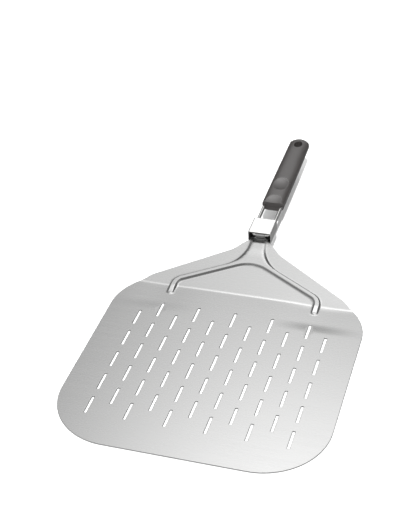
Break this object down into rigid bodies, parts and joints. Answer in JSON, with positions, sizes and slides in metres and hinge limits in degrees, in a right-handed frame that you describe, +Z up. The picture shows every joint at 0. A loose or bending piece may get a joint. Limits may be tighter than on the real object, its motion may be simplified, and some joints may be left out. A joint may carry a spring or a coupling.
{
  "type": "pizza peel",
  "caption": "Folding pizza peel with a slotted stamped-steel blade, a rod handle that turns in a rolled eye, a sliding lock sleeve and a dark moulded grip.",
  "frame": {"origin": "under the middle of the whole peel with the handle unfolded, on the surface that the flat blade lies on", "axes": "+Z up from the blade's top face, +Y from the blade along the handle, +X to the right of somebody who looks along +Y"},
  "size_m": [0.305, 0.5734, 0.0478],
  "materials": {
    "brushed_steel": "satin brushed stainless sheet",
    "polished_steel": "polished stainless rod",
    "sleeve_steel": "bright stainless sheet",
    "guide_plastic": "black moulded plastic",
    "grip_plastic": "fine matt texture, dark warm grey",
    "screw_steel": "plain steel"
  },
  "bodies": {
    "blade": {"blade": "brushed_steel"},
    "handle": {"handle_wire": "polished_steel", "grip_upper_shell": "grip_plastic", "grip_lower_shell": "grip_plastic", "screw_front": "screw_steel", "screw_middle": "screw_steel", "screw_rear": "screw_steel"},
    "sleeve": {"lock_sleeve": "sleeve_steel", "sleeve_guide": "guide_plastic"}
  },
  "joints": [
    {"name": "handle_fold", "type": "hinge", "parent": "blade", "child": "handle", "pos_m": [0, 0.0713, 0.03463], "axis": [1, 0, 0], "range_deg": [0, 170]},
    {"name": "sleeve_slide", "type": "slide", "parent": "handle", "child": "sleeve", "axis": [0, 0.9996, 0.0279], "range_m": [0, 0.0333]}
  ],
  "couplings": [
    {"joint": "sleeve_slide", "follows": "handle_fold", "m_per_rad": 0.0111}
  ]
}
